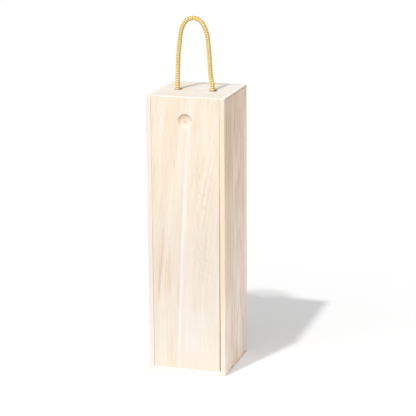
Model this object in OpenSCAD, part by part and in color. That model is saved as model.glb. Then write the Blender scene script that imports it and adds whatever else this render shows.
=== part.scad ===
// Upright wine box for one bottle: six thin boards, a lid that slides up out of its grooves,
// a shelf that steadies the bottle's neck, and a rope handle knotted under the top board.
// X runs to the right, Y to the back and Z up. The origin is the middle of the underside.

/* [Box] */
// Width over the two side boards
box_w = 100; // [92:1:120]
// Depth from the lid's face to the back
box_d = 100; // [92:1:120]
// Height
box_h = 355; // [330:1:400]
// How far the outer edges are sanded off
edge_ease = 0.5; // [0.2:0.1:1]

/* [Boards] */
// Thickness of each side board
side_t = 6; // [5.5:0.5:9]
// Thickness of the back board
back_t = 6; // [4:0.5:9]
// Thickness of the top board
top_t = 6; // [4:0.5:9]
// Thickness of the bottom board
bottom_t = 6; // [5.5:0.5:9]

/* [Sliding lid] */
// Thickness of the lid
lid_t = 6; // [6:0.5:8]
// Thickness of the tongue round the lid
tongue_t = 3; // [2:0.5:4]
// Depth of the grooves that the tongue runs in
groove_depth = 3; // [2:0.5:4]
// Play between the tongue and each face of its groove
groove_play = 0.2; // [0.1:0.05:0.4]
// Gap between the tongue's edge and the bottom of its groove
tongue_gap = 0.3; // [0.2:0.1:0.8]
// Gap between the lid's raised field and the boards round it
field_gap = 0.2; // [0.2:0.05:0.8]
// The same gap at the lid's lower right corner, where the field was planed a little off true
corner_gap = 1.3; // [0.2:0.05:1.6]
// Gap between the lid's inner face and the boards behind it
lid_clearance = 0.3; // [0.2:0.1:1]
// How far the lid's own edges are sanded off
lid_ease = 0.3; // [0.1:0.1:0.8]

/* [Finger recess] */
// Width of the round dish that a thumb pushes on
recess_d = 18; // [12:0.5:24]
// Width of the flat floor in the middle of the dish
recess_floor_d = 5; // [2:0.5:8]
// Depth of the dish at its middle
recess_depth = 3; // [2:0.25:4]
// Distance from the top of the lid down to its centre
recess_drop = 29.5; // [20:0.5:50]

/* [Neck shelf] */
// Thickness of the shelf
shelf_t = 6; // [4:0.5:9]
// Height of the shelf's underside above the ground
shelf_z = 255; // [200:1:280]
// Width of the hole for the bottle's neck
neck_hole_d = 38; // [30:1:50]
// Depth of the housings that carry the shelf's ends
housing_depth = 2.5; // [1.5:0.5:4]
// Play round the shelf's ends in their housings
housing_play = 0.1; // [0.05:0.05:0.3]

/* [Rope handle] */
// Width of the rope
rope_d = 5.5; // [4:0.5:6]
// Width of the two holes in the top board
rope_hole_d = 7.5; // [6.5:0.5:10]
// Distance between the two holes
rope_spacing = 45; // [35:1:50]
// How far the pair of holes lies to the right of the middle
rope_offset_x = -1.5; // [-4:0.5:4]
// How far the pair of holes lies behind the middle
rope_offset_y = -3; // [-10:0.5:10]
// How far the rims of the holes are sanded off
rope_hole_ease = 0.6; // [0.2:0.1:1]
// Gap between a knot and the board above it
knot_gap = 0.4; // [0.3:0.1:1]
// Gap at each turning point, between the handle's foot and the rope in the hole
foot_gap = 0.3; // [0.2:0.1:0.5]

/* [Brads] */
// Width of a brad
brad_d = 1.2; // [1:0.1:1.6]
// Length of a brad
brad_l = 18; // [14:1:22]
// Width of a brad's head
brad_head_d = 1.8; // [1.7:0.1:2.4]
// Thickness of a brad's head
brad_head_t = 0.8; // [0.5:0.1:1]
// How far a head is set below the wood
brad_set = 0.2; // [0.1:0.1:0.5]
// Play round a brad in the wood
brad_play = 0.05; // [0.03:0.01:0.1]
// Distance from the lid's face to the front brads of the top and bottom boards
brad_front = 27; // [20:1:35]
// Distance from those to the brads behind them
brad_pitch = 34; // [25:1:45]
// Brads down each side of the back board
back_brad_count = 4; // [2:1:6]
// Distance from each end of the box to the nearest brad of the back board
back_brad_end = 40; // [25:1:60]

/* [Hidden] */
$fn = 96;

// How far a cut runs past the surface that it opens
past = 1;

// Faces of the box and of the room inside it
left_x = -box_w / 2;
right_x = box_w / 2;
front_y = -box_d / 2;
back_y = box_d / 2;
room_x = right_x - side_t;
room_back_y = back_y - back_t;
room_top_z = box_h - top_t;
inner_front_y = front_y + lid_t + lid_clearance;

// The tongue lies at the lid's inner face, and the groove holds it with play
tongue_front_y = front_y + lid_t - tongue_t;
tongue_back_y = front_y + lid_t;
groove_front_y = tongue_front_y - groove_play;
groove_back_y = tongue_back_y + groove_play;
groove_x = room_x + groove_depth;
groove_floor_z = bottom_t - groove_depth;
tongue_x = groove_x - tongue_gap;
tongue_foot_z = groove_floor_z + tongue_gap;
field_x = room_x - field_gap;
field_foot_z = bottom_t + field_gap;

// The handle turns about a line through the centres of its two round feet
foot_z = box_h + foot_gap + rope_d / 2;

// The arch of the handle, as the rope stands by itself: across from the middle of the two holes,
// and up from the line that it turns about, drawn for holes that are 45 mm apart
drawn_spacing = 45;
// Height of each round foot above that line, and how far it stands out round the rope
foot_h = 5;
foot_step = 0.05;
arch_route = [[-22.5, foot_h], [-22.5, 8], [-22, 20], [-21.3, 37], [-20, 51], [-18.3, 65],
              [-15.3, 76], [-9.5, 84], [-2.5, 86.5], [4, 85.5], [9.8, 81], [14, 73], [16.4, 65],
              [17.8, 53], [19, 38], [19.7, 24], [21, 12], [22.2, 8], [22.5, 6.5], [22.5, foot_h]];
arch_steps = 2;
arch_sides = 12;

// Half of an overhand knot, from the middle of its loop to the end that goes up, in widths of the
// rope. The other half is the same, turned half round about Y.
half_knot = [[0, 1.2, 0], [-1.1, 1.2, -0.3], [-1.6, 0.4, -0.8], [-1.2, -0.7, -1.1], [0, -0.9, -1],
             [0.7, -0.4, -0.2], [0.4, 0.2, 0.6], [0.5, 0.3, 1.5]];
knot_steps = 4;
knot_sides = 8;
// Height of a knot above its middle, and how far its tail hangs below it, in widths of the rope
knot_rise = 1.6;
tail_drop = 2.5;

// --- Curves ---

function unit(v) = v / norm(v);

// A point of the smooth curve through points p, a share f of the way from point i to the next
function smooth_point(p, i, f) =
    let (a = p[max(i - 1, 0)], b = p[i], c = p[i + 1], d = p[min(i + 2, len(p) - 1)])
    (2 * b + (c - a) * f + (2 * a - 5 * b + 4 * c - d) * f ^ 2 + (3 * b - 3 * c + d - a) * f ^ 3) / 2;

function smooth_route(p, steps) =
    [for (i = [0 : len(p) - 2]) for (k = [0 : steps - 1]) smooth_point(p, i, k / steps),
     p[len(p) - 1]];

// Direction of a route at its point i
function heading(route, i) =
    unit(route[min(i + 1, len(route) - 1)] - route[max(i - 1, 0)]);

// One direction across the route at each point, carried along it so that the tube doesn't twist
function across(route, last, i = 0) =
    i == len(route) ? [] :
    let (h = heading(route, i), n = unit(last - (last * h) * h))
    concat([n], across(route, n, i + 1));

// A closed tube round a route, with its own radius at each point
module tube(route, radii, sides) {
    rings = len(route);
    side_way = across(route, [0, 1, 0]);
    skin = [for (i = [0 : rings - 1])
            let (n = side_way[i], m = cross(heading(route, i), n))
            for (k = [0 : sides - 1])
            route[i] + radii[i] * (cos(k * 360 / sides) * n + sin(k * 360 / sides) * m)];
    walls = [for (i = [0 : rings - 2]) for (k = [0 : sides - 1])
             let (a = i * sides + k, b = i * sides + (k + 1) % sides)
             each [[a, a + sides, b + sides], [a, b + sides, b]]];
    first_cap = [for (k = [1 : sides - 2]) [0, k, k + 1]];
    last_ring = (rings - 1) * sides;
    last_cap = [for (k = [1 : sides - 2]) [last_ring, last_ring + k + 1, last_ring + k]];
    polyhedron(concat(skin), concat(walls, first_cap, last_cap));
}

// --- Boards ---

// The whole block with its outer edges sanded off: every board is cut from it
module sanded_block() {
    intersection() {
        linear_extrude(box_h) eased_rectangle(box_w, box_d);
        translate([0, back_y, box_h / 2]) rotate([90, 0, 0])
            linear_extrude(box_d) eased_rectangle(box_w, box_h);
        translate([left_x, 0, box_h / 2]) rotate([90, 0, 90])
            linear_extrude(box_w) eased_rectangle(box_d, box_h);
    }
}

module eased_rectangle(w, h) {
    e = edge_ease;
    polygon([[-w / 2 + e, -h / 2], [w / 2 - e, -h / 2], [w / 2, -h / 2 + e], [w / 2, h / 2 - e],
             [w / 2 - e, h / 2], [-w / 2 + e, h / 2], [-w / 2, h / 2 - e], [-w / 2, -h / 2 + e]]);
}

// A box given by its lowest and highest corners
module block(low, high) {
    translate(low) cube(high - low);
}

// The right side board, with the lid's groove, the shelf's housing and the brads' holes
module side_board() {
    difference() {
        intersection() {
            sanded_block();
            block([room_x, front_y, 0], [right_x, back_y, box_h]);
        }
        block([room_x - past, groove_front_y, -past], [groove_x, groove_back_y, box_h + past]);
        block([room_x - past, groove_back_y - past, shelf_z - housing_play],
              [room_x + housing_depth, room_back_y, shelf_z + shelf_t + housing_play]);
        brad_holes();
    }
}

module left_side() {
    color([0.94, 0.88, 0.80]) mirror([1, 0, 0]) side_board();
}

module right_side() {
    color([0.90, 0.83, 0.75]) side_board();
}

module back_panel() {
    color([0.93, 0.86, 0.77]) difference() {
        intersection() {
            sanded_block();
            block([-room_x, room_back_y, bottom_t], [room_x, back_y, room_top_z]);
        }
        both_sides() brad_holes();
    }
}

module top_panel() {
    color([0.97, 0.93, 0.88]) difference() {
        intersection() {
            sanded_block();
            block([-room_x, inner_front_y, room_top_z], [room_x, back_y, box_h]);
        }
        for (side = [-1, 1]) at_rope_hole(side) rope_hole();
        both_sides() brad_holes();
    }
}

module bottom_panel() {
    color([0.96, 0.92, 0.86]) difference() {
        intersection() {
            sanded_block();
            block([-room_x, front_y, 0], [room_x, back_y, bottom_t]);
        }
        block([-room_x - past, groove_front_y, groove_floor_z],
              [room_x + past, groove_back_y, bottom_t + past]);
        both_sides() brad_holes();
    }
}

module neck_shelf() {
    shelf_x = room_x + housing_depth - housing_play;
    color([0.97, 0.94, 0.90]) difference() {
        block([-shelf_x, inner_front_y, shelf_z], [shelf_x, room_back_y, shelf_z + shelf_t]);
        translate([0, (tongue_back_y + room_back_y) / 2, shelf_z - past])
            cylinder(d = neck_hole_d, h = shelf_t + 2 * past);
    }
}

// --- Sliding lid ---

module lid() {
    color([0.98, 0.93, 0.86]) difference() {
        intersection() {
            sanded_block();
            union() {
                block([-tongue_x, tongue_front_y, tongue_foot_z], [tongue_x, tongue_back_y, box_h]);
                lid_field();
            }
        }
        translate([0, front_y, box_h - recess_drop]) rotate([90, 0, 0]) finger_recess();
    }
}

// The raised field inside the tongue. Its left edge is upright, and its right edge leans.
module lid_field() {
    lean = atan((corner_gap - field_gap) / (box_h - field_foot_z));
    intersection() {
        block([-room_x, front_y, field_foot_z], [room_x, tongue_back_y, box_h]);
        translate([-field_x, 0, 0]) linear_extrude(box_h) field_outline();
        translate([field_x, 0, box_h]) rotate([0, lean, 0]) mirror([1, 0, 0])
            translate([0, 0, -box_h]) linear_extrude(box_h + past) field_outline();
    }
}

// The field seen from above, from its eased edge at X = 0 to beyond its other edge
module field_outline() {
    e = lid_ease;
    polygon([[0, front_y + e], [e, front_y], [box_w, front_y], [box_w, tongue_back_y],
             [0, tongue_back_y]]);
}

// A cutter for the dish: a flat floor, and a hollow wall that meets Z = 0 at the wanted width
module finger_recess() {
    floor_r = recess_floor_d / 2;
    reach = recess_d / 2 - floor_r;
    wall_r = (reach ^ 2 + recess_depth ^ 2) / (2 * recess_depth);
    translate([0, 0, -recess_depth]) rotate_extrude() {
        square([floor_r, wall_r]);
        intersection() {
            square([floor_r + wall_r, 2 * wall_r]);
            translate([floor_r, wall_r]) circle(wall_r);
        }
    }
}

// --- Rope handle ---

module at_rope_hole(side) {
    translate([rope_offset_x + side * rope_spacing / 2, rope_offset_y, 0]) children();
}

module rope_hole() {
    r = rope_hole_d / 2;
    e = rope_hole_ease;
    translate([0, 0, room_top_z - past]) cylinder(r = r, h = top_t + 2 * past);
    translate([0, 0, box_h - e]) cylinder(r1 = r, r2 = r + e + past, h = e + past);
    translate([0, 0, room_top_z - past]) cylinder(r1 = r + e + past, r2 = r, h = e + past);
}

// The free arch. Each foot is round and ends in a ball, so that it can turn over its hole.
module rope_handle() {
    arch = smooth_route([for (p = arch_route) [p[0] * rope_spacing / drawn_spacing, 0, p[1]]],
                        arch_steps);
    color([0.86, 0.70, 0.42]) translate([0, 0, foot_z]) {
        translate([rope_offset_x, rope_offset_y, 0])
            tube(arch, [for (p = arch) rope_d / 2 - foot_step], arch_sides);
        for (side = [-1, 1]) at_rope_hole(side) {
            sphere(d = rope_d);
            cylinder(d = rope_d, h = foot_h);
        }
    }
}

// Centre line of the rope below the top board's face, down from the hole's axis through the knot
function rope_end_points() =
    let (loop = concat([for (i = [len(half_knot) - 1 : -1 : 0]) half_knot[i]],
                       [for (i = [1 : len(half_knot) - 1])
                        [-half_knot[i][0], half_knot[i][1], -half_knot[i][2]]]),
         lead = half_knot[len(half_knot) - 1],
         middle_z = -top_t - knot_gap - knot_rise * rope_d,
         start = [0, 0, 0],
         shift = [-lead[0] * rope_d, -lead[1] * rope_d, middle_z],
         tail = [-lead[0], lead[1], -tail_drop])
    concat([start], [for (p = loop) p * rope_d + shift], [tail * rope_d + shift]);

// The rope through one hole, its knot and its short tail
module rope_end(side) {
    route = smooth_route(rope_end_points(), knot_steps);
    radii = [for (p = route) rope_d / 2];
    color([0.86, 0.70, 0.42]) at_rope_hole(side) translate([0, 0, box_h])
        rotate([0, 0, side < 0 ? 0 : 180]) tube(route, radii, knot_sides);
}

module left_rope_end() {
    rope_end(-1);
}

module right_rope_end() {
    rope_end(1);
}

// Least distance between the centre lines of two turns of a knot, less the rope's width
function knot_self_gap() =
    let (route = smooth_route(rope_end_points(), knot_steps), apart = 2 * knot_steps)
    min([for (i = [0 : len(route) - 1 - apart]) for (j = [i + apart : len(route) - 1])
         norm(route[i] - route[j])]) - rope_d;

echo("least gap of a knot to itself, mm", knot_self_gap());

// --- Brads ---

// Places of the brads on a side board's face, as [y, z]
top_brad_places = [for (k = [0, 1]) [front_y + brad_front + k * brad_pitch, box_h - top_t / 2]];
bottom_brad_places = [for (k = [0, 1]) [front_y + brad_front + k * brad_pitch, bottom_t / 2]];
back_brad_pitch = (box_h - 2 * back_brad_end) / (back_brad_count - 1);
back_brad_places = [for (k = [0 : back_brad_count - 1])
                    [back_y - back_t / 2, back_brad_end + k * back_brad_pitch]];

module both_sides() {
    children();
    mirror([1, 0, 0]) children();
}

module at_places(places) {
    for (p = places) translate([right_x, p[0], p[1]]) rotate([0, -90, 0]) children();
}

// A brad driven in from the right side's face, with its head just below the wood
module brad() {
    translate([0, 0, brad_set]) {
        cylinder(d = brad_d, h = brad_l);
        cylinder(d = brad_head_d, h = brad_head_t);
    }
}

module brad_hole() {
    deep = brad_set + brad_play;
    translate([0, 0, -past]) cylinder(d = brad_d + 2 * brad_play, h = past + deep + brad_l);
    translate([0, 0, -past])
        cylinder(d = brad_head_d + 2 * brad_play, h = past + deep + brad_head_t);
}

module brad_holes() {
    at_places(concat(top_brad_places, bottom_brad_places, back_brad_places)) brad_hole();
}

module brads(places) {
    color([0.62, 0.58, 0.54]) both_sides() at_places(places) brad();
}

module top_brads() {
    brads(top_brad_places);
}

module bottom_brads() {
    brads(bottom_brad_places);
}

module back_brads() {
    brads(back_brad_places);
}

left_side();
right_side();
back_panel();
top_panel();
bottom_panel();
neck_shelf();
lid();
rope_handle();
left_rope_end();
right_rope_end();
top_brads();
bottom_brads();
back_brads();
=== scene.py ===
# %% [markdown]
# # Dressing an upright wooden wine box
#
# The real object is a box of six thin boards of pale, soft wood. Its lid slides up out of grooves,
# a shelf inside steadies the bottle's neck, and a braided rope handle is knotted under the top
# board. The boards come from the CAD model as they are, so this file gives them their wood, and
# builds what CAD leaves plain: the braided rope with its knots.
# Lengths are in metres where nothing else is said, X runs to the right, Y to the back and Z up.

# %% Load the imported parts
import math

import bpy
import numpy as np
from mathutils import Matrix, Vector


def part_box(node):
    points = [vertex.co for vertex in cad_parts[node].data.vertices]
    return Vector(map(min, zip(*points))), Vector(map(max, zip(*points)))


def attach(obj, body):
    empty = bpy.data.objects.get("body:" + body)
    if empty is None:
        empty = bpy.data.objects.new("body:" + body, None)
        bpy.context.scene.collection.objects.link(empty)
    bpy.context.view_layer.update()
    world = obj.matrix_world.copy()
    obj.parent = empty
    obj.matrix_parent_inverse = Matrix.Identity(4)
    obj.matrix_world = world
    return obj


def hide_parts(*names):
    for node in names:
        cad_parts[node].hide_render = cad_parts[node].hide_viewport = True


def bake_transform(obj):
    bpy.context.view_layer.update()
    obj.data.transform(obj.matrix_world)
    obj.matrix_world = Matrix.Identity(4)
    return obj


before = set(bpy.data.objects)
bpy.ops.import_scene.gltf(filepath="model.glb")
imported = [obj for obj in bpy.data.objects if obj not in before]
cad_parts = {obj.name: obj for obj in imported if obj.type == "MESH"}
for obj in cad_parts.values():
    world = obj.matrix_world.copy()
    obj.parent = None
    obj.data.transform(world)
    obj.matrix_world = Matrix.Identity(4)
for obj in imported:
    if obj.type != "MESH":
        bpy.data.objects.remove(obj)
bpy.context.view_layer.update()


def add_object(name, data):
    """An object in the scene with this mesh, lamp or camera."""
    made = bpy.data.objects.new(name, data)
    bpy.context.scene.collection.objects.link(made)
    return made


# %% [markdown]
# ## The camera
#
# A picture of a box gives its own camera away: the three sets of parallel edges fix where it stood
# and how long its lens was. Here it stood about two metres off, a little to the right and above,
# with a long lens. It could be placed by trial, but a fit to the box's corners is closer.

# %% Place the camera
AZIMUTH, ELEVATION, ROLL = np.radians([17.005, 14.826, -0.386])
CAMERA_PLACE = (0.628728, -2.012006, 0.761073)
LENS_MM = 149.48
SENSOR_MM = 36.0
FARTHEST = 60.0


def camera_axes():
    """The camera's right, up and backward directions: backward is a point on the unit sphere at
    the given azimuth and elevation, right is level, and both others are rolled about backward."""
    back = np.array([math.sin(AZIMUTH) * math.cos(ELEVATION),
                     -math.cos(AZIMUTH) * math.cos(ELEVATION), math.sin(ELEVATION)])
    level = np.array([math.cos(AZIMUTH), math.sin(AZIMUTH), 0.0])
    upright = np.cross(back, level)
    right = level * math.cos(ROLL) + upright * math.sin(ROLL)
    up = upright * math.cos(ROLL) - level * math.sin(ROLL)
    return right, up, back


camera_data = bpy.data.cameras.new("camera")
camera_data.lens = LENS_MM
camera_data.sensor_width = SENSOR_MM
camera_data.clip_end = FARTHEST
camera = add_object("camera", camera_data)
bpy.context.scene.camera = camera
turned = Matrix(np.column_stack(camera_axes()).tolist()).to_4x4()
camera.matrix_world = Matrix.Translation(CAMERA_PLACE) @ turned
print("camera", [round(x, 3) for x in camera.matrix_world.translation])

# %% [markdown]
# ## The rope's path
#
# The handle is one stiff braided cord of 5.5 mm. It comes up through one hole of the top board,
# stands as an arch by its own stiffness and goes down through the other hole. A few points fix the
# arch, and a smooth curve runs through them, as in the CAD model, so that the two lie in one place.
# It is cut into even steps, because the braid repeats evenly.

# %% Draw the path of the arch
ROPE_D = 0.0055
TURN_Z = 0.35805
HOLE_Y = -0.003
MIDDLE_X = -0.0015
HALF_SPACING = 0.0225
BOARD_TOP_Z = round(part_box("top_panel")[1].z, 6)
PITCH = 0.0029
STEP = PITCH / 11
FINE_STEPS = 40

# Across from the middle of the two holes, and up from the line that the handle turns about, in mm
ARCH_MM = np.array([
    [-22.5, -5], [-22.5, 1.6], [-22.5, 8], [-22, 20], [-21.3, 37], [-20, 51], [-18.3, 65],
    [-15.3, 76], [-9.5, 84], [-2.5, 86.5], [4, 85.5], [9.8, 81], [14, 73], [16.4, 65], [17.8, 53],
    [19, 38], [19.7, 24], [21, 12], [22.2, 8], [22.5, 6.5], [22.5, 1], [22.5, -5]])


def smooth_path(points, step):
    """Even steps along the smooth curve through the points. Between points b and c, with a before
    and d after them, it is half of 2b + (c - a)f + (2a - 5b + 4c - d)f^2 + (3b - 3c + d - a)f^3,
    for f from 0 to 1. Its length is summed, and the places are then read off at even lengths."""
    a, b, c, d = (np.vstack([points[:1], points, points[-1:]])[k:len(points) - 1 + k, None]
                  for k in range(4))
    f = np.linspace(0, 1, FINE_STEPS, endpoint=False)[None, :, None]
    fine = 2 * b + (c - a) * f + (2 * a - 5 * b + 4 * c - d) * f**2 + (3 * b - 3 * c + d - a) * f**3
    fine = np.vstack([fine.reshape(-1, points.shape[1]) / 2, points[-1:]])
    along = np.concatenate([[0], np.cumsum(np.linalg.norm(np.diff(fine, axis=0), axis=1))])
    even = np.linspace(0, along[-1], max(2, round(along[-1] / step)) + 1)
    return np.column_stack([np.interp(even, along, fine[:, k]) for k in range(points.shape[1])])


arch_points = np.column_stack([MIDDLE_X + ARCH_MM[:, 0] / 1000, np.full(len(ARCH_MM), HOLE_Y),
                               TURN_Z + ARCH_MM[:, 1] / 1000])
arch_path = smooth_path(arch_points, STEP)
arch_length = np.linalg.norm(np.diff(arch_path, axis=0), axis=1).sum()
print("arch", len(arch_path), "steps, length", round(arch_length, 4))

# %% [markdown]
# ## The braid
#
# A braided cord is eight strands winding one way and eight the other, each going over one and under
# the next. A picture of that could be wrapped round a plain tube, but its outline would be smooth.
# Here the braid is a height worked out from two numbers, the length along the rope and the turn
# round it, and the tube's radius follows it, so that the strands stand out in the mesh itself.

# %% Work out the height of the braid
STRANDS = 8
CROWN_R = 0.0029
BRAID_RELIEF = 0.00065
SIDES = 56


def braid_height(along, turn):
    """0 in a valley of the braid and 1 on a crown. One family of strands has the number
    a = strands * turn + length / pitch and the other b = strands * turn - length / pitch. Within
    its own width a strand is round, the root of 1 - (2 * across)^2, and along its length it rises
    and dips as a cosine. Which family is on top goes by the parity of the two whole parts."""
    a, b = STRANDS * turn + along / PITCH, STRANDS * turn - along / PITCH
    over = (np.floor(a) + np.floor(b)) % 2 == 0
    from_a, from_b = a - np.floor(a) - 0.5, b - np.floor(b) - 0.5
    across, lengthwise = np.where(over, from_a, from_b), np.where(over, from_b, from_a)
    return 0.5 * np.sqrt(np.clip(1 - 4 * across**2, 0, 1)) + 0.5 * np.cos(np.pi * lengthwise)


# %% Helpers that skin a tube
def carried_sides(path, first):
    """One unit direction across the path at each step. The first is given, and each next one is
    the last with its share along the new heading taken away, so that the tube doesn't twist."""
    heading = np.gradient(path, axis=0)
    heading /= np.linalg.norm(heading, axis=1)[:, None]
    side, last = [], np.array(first, float)
    for h in heading:
        last = last - (last @ h) * h
        last = last / np.linalg.norm(last)
        side.append(last)
    return heading, np.array(side)


def tube_mesh(name, rings, poles, along):
    """A closed skin over rings of points, rings[i, k] being point k of ring i. Each ring closes on
    itself, and a pole closes each end. The map RopeMap holds the length along and the turn."""
    count, sides = rings.shape[:2]
    i, k = np.meshgrid(np.arange(count - 1), np.arange(sides), indexing="ij")
    here, beside = i * sides + k, i * sides + (k + 1) % sides
    quads = np.stack([here, beside, beside + sides, here + sides], -1).reshape(-1, 4)
    around, last = np.arange(sides), (count - 1) * sides
    first_fan = np.stack([np.full(sides, count * sides), (around + 1) % sides, around], -1)
    last_fan = np.stack([np.full(sides, count * sides + 1), last + around,
                         last + (around + 1) % sides], -1)
    mesh = bpy.data.meshes.new(name)
    mesh.from_pydata(np.vstack([rings.reshape(-1, 3), poles]).tolist(), [],
                     quads.tolist() + first_fan.tolist() + last_fan.tolist())
    mesh.polygons.foreach_set("use_smooth", np.ones(len(mesh.polygons), bool))
    quad_uv = np.stack([along[np.stack([i, i, i + 1, i + 1], -1)],
                        np.stack([k, k + 1, k + 1, k], -1) / sides], -1)
    first_turn = np.stack([around + 0.5, around + 1, around], -1) / sides
    last_turn = np.stack([around + 0.5, around, around + 1], -1) / sides
    fan_uv = [np.stack([np.full((sides, 3), end), turn], -1)
              for end, turn in ((along[0], first_turn), (along[-1], last_turn))]
    uv = np.vstack([part.reshape(-1, 2) for part in (quad_uv, *fan_uv)])
    mesh.uv_layers.new(name="RopeMap").data.foreach_set("uv", uv.astype(np.float32).ravel())
    return add_object(name, mesh)


# %% A helper that makes a braided rope
ROUND_OFF = 0.0016


def braided_rope(name, path, first_side, start):
    """A braided tube along a path, its map starting at the given length. Its radius is the
    rope's, less the relief where the braid is low, and it is rounded off over a short length r at
    both ends, by the root of 1 - (1 - d/r)^2, where d is the distance from the end."""
    heading, side = carried_sides(path, first_side)
    along = np.concatenate([[0], np.cumsum(np.linalg.norm(np.diff(path, axis=0), axis=1))])
    turn = np.arange(SIDES) / SIDES
    radius = CROWN_R - BRAID_RELIEF * (1 - braid_height(start + along[:, None], turn[None]))
    from_end = np.clip(np.minimum(along, along[-1] - along) / ROUND_OFF, 0, 1)
    radius = radius * np.sqrt(1 - (1 - from_end[:, None])**2)
    angle = 2 * np.pi * turn[None, :, None]
    ways = np.cos(angle) * side[:, None] + np.sin(angle) * np.cross(heading, side)[:, None]
    rings = path[:, None] + radius[..., None] * ways
    made = tube_mesh(name, rings[1:-1], path[[0, -1]], start + along[1:-1])
    print(name, "length", round(along[-1], 4), "faces", len(made.data.polygons))
    return made


# %% Make the arch of the handle
arch = braided_rope("handle_rope", arch_path, (0, 1, 0), 0.0)

# %% [markdown]
# ## The knots
#
# Under the top board each end of the rope is tied in an overhand knot, pulled up against the wood.
# An overhand knot is the same seen from both of its ends, so half of it is enough: the other half
# is that half turned half round. The knots lie where the CAD model has them, and the cut ends of
# the cord are sealed with heat, which leaves them round.

# %% Tie the knots
# Half an overhand knot, from its middle to where the rope leads in, in rope diameters
HALF_KNOT = np.array([[0, 1.2, 0], [-1.1, 1.2, -0.3], [-1.6, 0.4, -0.8], [-1.2, -0.7, -1.1],
                      [0, -0.9, -1], [0.7, -0.4, -0.2], [0.4, 0.2, 0.6], [0.5, 0.3, 1.5]])
BOARD_T = 0.006
KNOT_GAP = 0.0004
KNOT_DROP = BOARD_T + KNOT_GAP + 1.6 * ROPE_D
TAIL_DROP = 2.5 * ROPE_D
OVERLAP = 0.002
KNOT_MAP_START = 0.3


def knot_points():
    """The middle line from the hole down through the knot: half a knot backwards, then the same
    half with X and Z turned about, then the tail. It is measured from the board's top face."""
    other_half = HALF_KNOT[1:] * (-1, 1, -1)
    lead = HALF_KNOT[-1]
    shift = np.array([-lead[0] * ROPE_D, -lead[1] * ROPE_D, -KNOT_DROP])
    loop = np.vstack([HALF_KNOT[::-1], other_half]) * ROPE_D + shift
    tail = np.array([-lead[0] * ROPE_D, lead[1] * ROPE_D, -TAIL_DROP]) + shift
    return np.vstack([[0, 0, -OVERLAP], loop, tail])


def rope_end(name, side_sign):
    """The rope from inside a hole through its knot. The right one is turned half round about Z."""
    sign = -side_sign
    points = knot_points() * (sign, sign, 1)
    points = points + (MIDDLE_X + side_sign * HALF_SPACING, HOLE_Y, BOARD_TOP_Z)
    return braided_rope(name, smooth_path(points, STEP), (0, 1, 0), KNOT_MAP_START)


left_knot = rope_end("left_knot", -1)
right_knot = rope_end("right_knot", 1)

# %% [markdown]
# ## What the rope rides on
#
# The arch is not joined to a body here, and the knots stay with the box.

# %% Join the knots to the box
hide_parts("rope_handle")
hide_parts("left_rope_end")
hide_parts("right_rope_end")
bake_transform(arch)
for knot in (left_knot, right_knot):
    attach(knot, "box")

# %% [markdown]
# ## A bench for shader nodes
#
# A procedural material is a net of small nodes. Adding them one by one takes many lines, so a small
# helper does it: a method adds a node, joins what it is given and returns its output. Below, b is
# always the bench of the material or group at hand.

# %% A helper for colours
def paint(red, green, blue):
    """A colour as a screen shows it, from 0 to 255, as the linear light that a shader wants."""
    c = np.array([red, green, blue]) / 255
    return (*np.where(c <= 0.04045, c / 12.92, ((c + 0.055) / 1.055)**2.4).tolist(), 1.0)


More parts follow.
